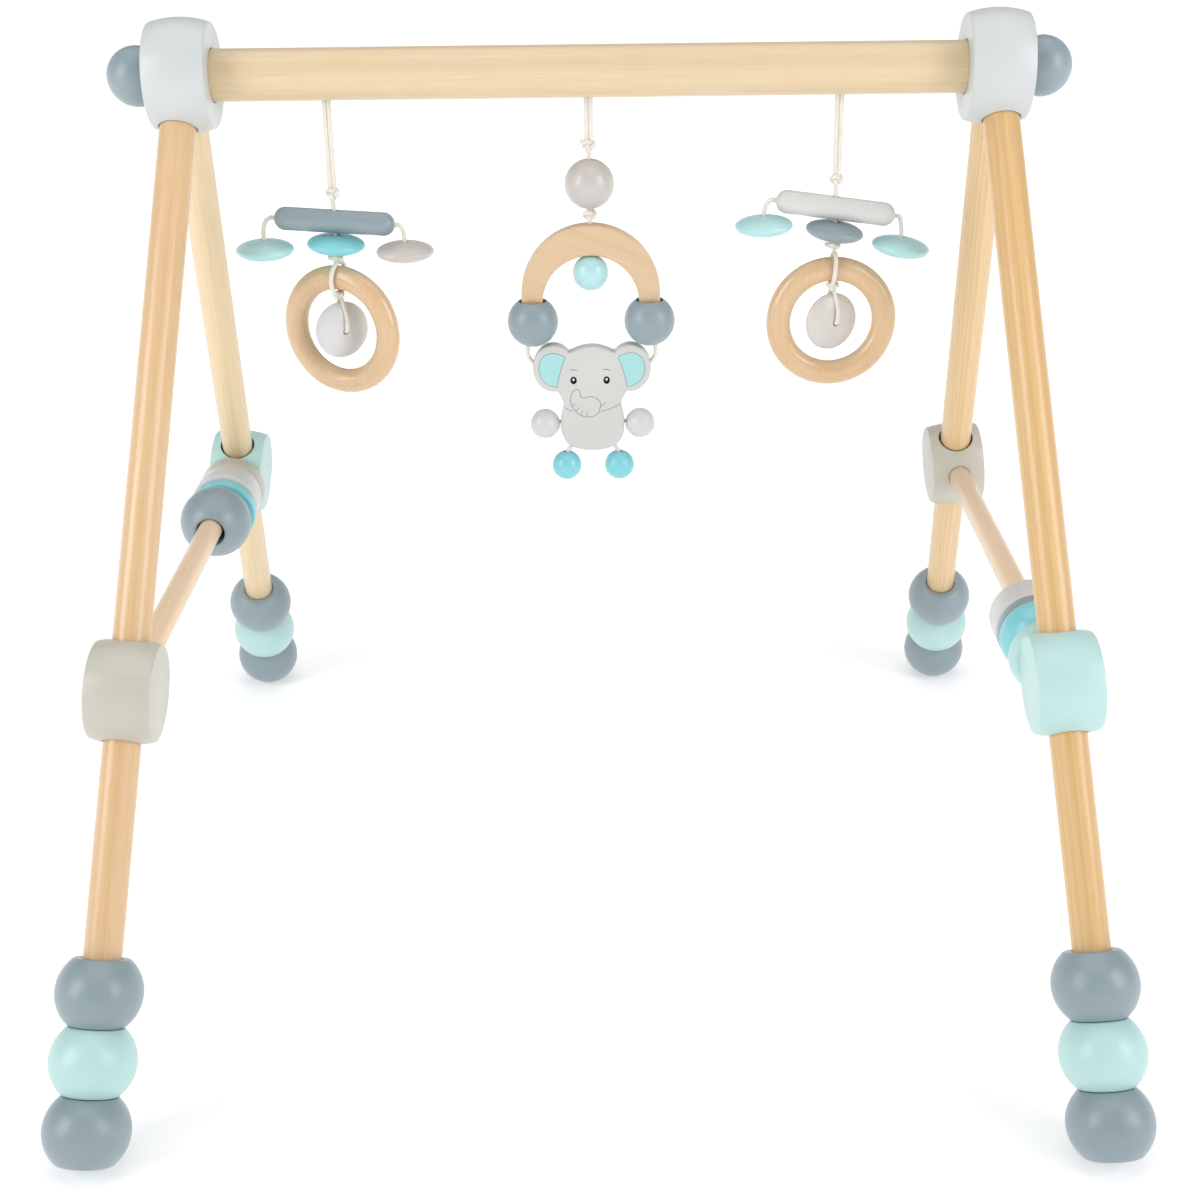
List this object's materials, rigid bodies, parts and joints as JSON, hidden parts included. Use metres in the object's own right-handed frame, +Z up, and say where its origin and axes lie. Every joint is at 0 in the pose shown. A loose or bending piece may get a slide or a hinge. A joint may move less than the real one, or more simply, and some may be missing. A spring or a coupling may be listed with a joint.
{
  "type": "activity play gym",
  "caption": "Wooden baby play gym: a round top bar on splayed A-frames with bead feet, wooden toys hanging on cords from the bar and loose beads on the side bars.",
  "frame": {"origin": "on the floor under the middle of the top bar, at the bottom centre of the bounding box", "axes": "+Z up, +X along the top bar to the right, +Y to the rear; the side bars run along Y"},
  "size_m": [0.6298, 0.6692, 0.5947],
  "materials": {
    "bar_wood": "clear-lacquered pale wood, satin",
    "leg_wood": "clear-lacquered pale wood, satin",
    "side_bar_wood": "clear-lacquered pinkish beech, satin",
    "beech": "oiled beech, satin",
    "hub_grey": "painted wood, satin",
    "slate": "painted wood, satin",
    "mint": "painted wood, satin",
    "cyan": "painted wood, semi-gloss",
    "aqua": "painted wood, semi-gloss",
    "light_grey": "painted wood, satin",
    "warm_grey": "painted wood, satin",
    "mauve_grey": "painted wood, satin",
    "cord": "braided cream cord, matt"
  },
  "bodies": {
    "stand": {"top_bar": "bar_wood", "hub_left": "hub_grey", "end_ball_left": "slate", "side_bar_left": "side_bar_wood", "leg_front_left": "leg_wood", "connector_front_left": "warm_grey", "foot_top_front_left": "slate", "foot_middle_front_left": "mint", "foot_bottom_front_left": "slate", "leg_rear_left": "leg_wood", "connector_rear_left": "mint", "foot_top_rear_left": "slate", "foot_middle_rear_left": "mint", "foot_bottom_rear_left": "slate", "hub_right": "hub_grey", "end_ball_right": "slate", "side_bar_right": "side_bar_wood", "leg_front_right": "leg_wood", "connector_front_right": "mint", "foot_top_front_right": "slate", "foot_middle_front_right": "mint", "foot_bottom_front_right": "slate", "leg_rear_right": "leg_wood", "connector_rear_right": "warm_grey", "foot_top_rear_right": "slate", "foot_middle_rear_right": "mint", "foot_bottom_rear_right": "slate"},
    "last_disc_left": {"last_disc_left": "warm_grey"},
    "thick_disc_left": {"thick_disc_left": "light_grey"},
    "thin_disc_left": {"thin_disc_left": "cyan"},
    "sliding_ball_left": {"sliding_ball_left": "slate"},
    "round_bead_right": {"round_bead_right": "mint"},
    "dome_bead_right": {"dome_bead_right": "cyan"},
    "thin_disc_right": {"thin_disc_right": "slate"},
    "sliding_disc_right": {"sliding_disc_right": "light_grey"},
    "mobile_left_cord": {"mobile_left_cord": "cord"},
    "mobile_left_rod": {"mobile_left_rod": "slate", "mobile_left_center_lens": "cyan"},
    "mobile_left_outer_lens": {"mobile_left_outer_lens": "aqua"},
    "mobile_left_inner_lens": {"mobile_left_inner_lens": "mauve_grey"},
    "mobile_left_ring": {"mobile_left_ring": "beech"},
    "mobile_left_ring_lens": {"mobile_left_ring_lens": "light_grey"},
    "mobile_right_cord": {"mobile_right_cord": "cord"},
    "mobile_right_rod": {"mobile_right_rod": "light_grey", "mobile_right_center_lens": "slate"},
    "mobile_right_outer_lens": {"mobile_right_outer_lens": "aqua"},
    "mobile_right_inner_lens": {"mobile_right_inner_lens": "aqua"},
    "mobile_right_ring": {"mobile_right_ring": "beech"},
    "mobile_right_ring_lens": {"mobile_right_ring_lens": "mauve_grey"},
    "center_cord": {"center_cord": "cord", "center_ball": "mauve_grey"},
    "arch": {"arch": "beech", "arch_ball_left": "slate", "arch_ball_right": "slate", "arch_drop_ball": "aqua"},
    "elephant": {"elephant": "light_grey"},
    "elephant_hand_left": {"elephant_hand_left": "light_grey"},
    "elephant_foot_left": {"elephant_foot_left": "cyan"},
    "elephant_hand_right": {"elephant_hand_right": "light_grey"},
    "elephant_foot_right": {"elephant_foot_right": "cyan"}
  },
  "joints": [
    {"name": "last_disc_left_spin", "type": "hinge", "parent": "stand", "child": "last_disc_left", "pos_m": [-0.27149, 0, 0.23868], "axis": [0, 1, 0], "continuous": true},
    {"name": "thick_disc_left_spin", "type": "hinge", "parent": "stand", "child": "thick_disc_left", "pos_m": [-0.27149, 0, 0.23868], "axis": [0, 1, 0], "continuous": true},
    {"name": "thin_disc_left_spin", "type": "hinge", "parent": "stand", "child": "thin_disc_left", "pos_m": [-0.27149, 0, 0.23568], "axis": [0, 1, 0], "continuous": true},
    {"name": "sliding_ball_left_slide", "type": "slide", "parent": "stand", "child": "sliding_ball_left", "axis": [0, -1, 0], "range_m": [0, 0.215]},
    {"name": "round_bead_right_spin", "type": "hinge", "parent": "stand", "child": "round_bead_right", "pos_m": [0.27149, 0, 0.23868], "axis": [0, 1, 0], "continuous": true},
    {"name": "dome_bead_right_spin", "type": "hinge", "parent": "stand", "child": "dome_bead_right", "pos_m": [0.27149, 0, 0.23868], "axis": [0, 1, 0], "continuous": true},
    {"name": "thin_disc_right_spin", "type": "hinge", "parent": "stand", "child": "thin_disc_right", "pos_m": [0.27149, 0, 0.23868], "axis": [0, 1, 0], "continuous": true},
    {"name": "sliding_disc_right_slide", "type": "slide", "parent": "stand", "child": "sliding_disc_right", "axis": [0, 1, 0], "range_m": [0, 0.238]},
    {"name": "mobile_left_swing", "type": "hinge", "parent": "stand", "child": "mobile_left_cord", "pos_m": [-0.159, 0, 0.54516], "axis": [1, 0, 0], "range_deg": [-25, 25]},
    {"name": "mobile_left_twist", "type": "hinge", "parent": "mobile_left_cord", "child": "mobile_left_rod", "pos_m": [-0.159, 0, 0.4718], "axis": [0, 0, 1], "range_deg": [-180, 180]},
    {"name": "mobile_left_outer_lens_swing", "type": "hinge", "parent": "mobile_left_rod", "child": "mobile_left_outer_lens", "pos_m": [-0.19641, 0, 0.47442], "axis": [1, 0, 0], "range_deg": [-40, 40]},
    {"name": "mobile_left_inner_lens_swing", "type": "hinge", "parent": "mobile_left_rod", "child": "mobile_left_inner_lens", "pos_m": [-0.12159, 0, 0.46918], "axis": [1, 0, 0], "range_deg": [-40, 40]},
    {"name": "mobile_left_ring_swing", "type": "hinge", "parent": "mobile_left_rod", "child": "mobile_left_ring", "pos_m": [-0.159, 0, 0.4475], "axis": [0.9135, -0.4067, 0], "range_deg": [-30, 30]},
    {"name": "mobile_left_ring_lens_swing", "type": "hinge", "parent": "mobile_left_ring", "child": "mobile_left_ring_lens", "pos_m": [-0.159, 0, 0.4287], "axis": [0.8387, 0.5446, 0], "range_deg": [-30, 30]},
    {"name": "mobile_right_swing", "type": "hinge", "parent": "stand", "child": "mobile_right_cord", "pos_m": [0.1515, 0, 0.54516], "axis": [1, 0, 0], "range_deg": [-25, 25]},
    {"name": "mobile_right_twist", "type": "hinge", "parent": "mobile_right_cord", "child": "mobile_right_rod", "pos_m": [0.1515, 0, 0.4766], "axis": [0, 0, 1], "range_deg": [-180, 180]},
    {"name": "mobile_right_outer_lens_swing", "type": "hinge", "parent": "mobile_right_rod", "child": "mobile_right_outer_lens", "pos_m": [0.18863, 0, 0.47138], "axis": [1, 0, 0], "range_deg": [-40, 40]},
    {"name": "mobile_right_inner_lens_swing", "type": "hinge", "parent": "mobile_right_rod", "child": "mobile_right_inner_lens", "pos_m": [0.11436, 0, 0.48182], "axis": [1, 0, 0], "range_deg": [-40, 40]},
    {"name": "mobile_right_ring_swing", "type": "hinge", "parent": "mobile_right_rod", "child": "mobile_right_ring", "pos_m": [0.1515, 0, 0.4523], "axis": [0.9986, 0.0523, 0], "range_deg": [-30, 30]},
    {"name": "mobile_right_ring_lens_swing", "type": "hinge", "parent": "mobile_right_ring", "child": "mobile_right_ring_lens", "pos_m": [0.1515, 0, 0.4308], "axis": [0.9063, 0.4226, 0], "range_deg": [-30, 30]},
    {"name": "center_swing", "type": "hinge", "parent": "stand", "child": "center_cord", "pos_m": [-0.0005, 0, 0.54516], "axis": [1, 0, 0], "range_deg": [-25, 25]},
    {"name": "arch_twist", "type": "hinge", "parent": "center_cord", "child": "arch", "pos_m": [-0.0005, 0, 0.4686], "axis": [0, 0, 1], "range_deg": [-180, 180]},
    {"name": "elephant_swing", "type": "hinge", "parent": "arch", "child": "elephant", "pos_m": [-0.0005, 0, 0.3906], "axis": [1, 0, 0], "range_deg": [-30, 30]},
    {"name": "elephant_hand_left_swing", "type": "hinge", "parent": "elephant", "child": "elephant_hand_left", "pos_m": [-0.0211, 0, 0.3384], "axis": [0, 0, 1], "range_deg": [-18, 18]},
    {"name": "elephant_foot_left_swing", "type": "hinge", "parent": "elephant", "child": "elephant_foot_left", "pos_m": [-0.0177, 0, 0.3225], "axis": [1, 0, 0], "range_deg": [-30, 30]},
    {"name": "elephant_hand_right_swing", "type": "hinge", "parent": "elephant", "child": "elephant_hand_right", "pos_m": [0.0201, 0, 0.3384], "axis": [0, 0, 1], "range_deg": [-18, 18]},
    {"name": "elephant_foot_right_swing", "type": "hinge", "parent": "elephant", "child": "elephant_foot_right", "pos_m": [0.0167, 0, 0.3225], "axis": [1, 0, 0], "range_deg": [-30, 30]}
  ]
}
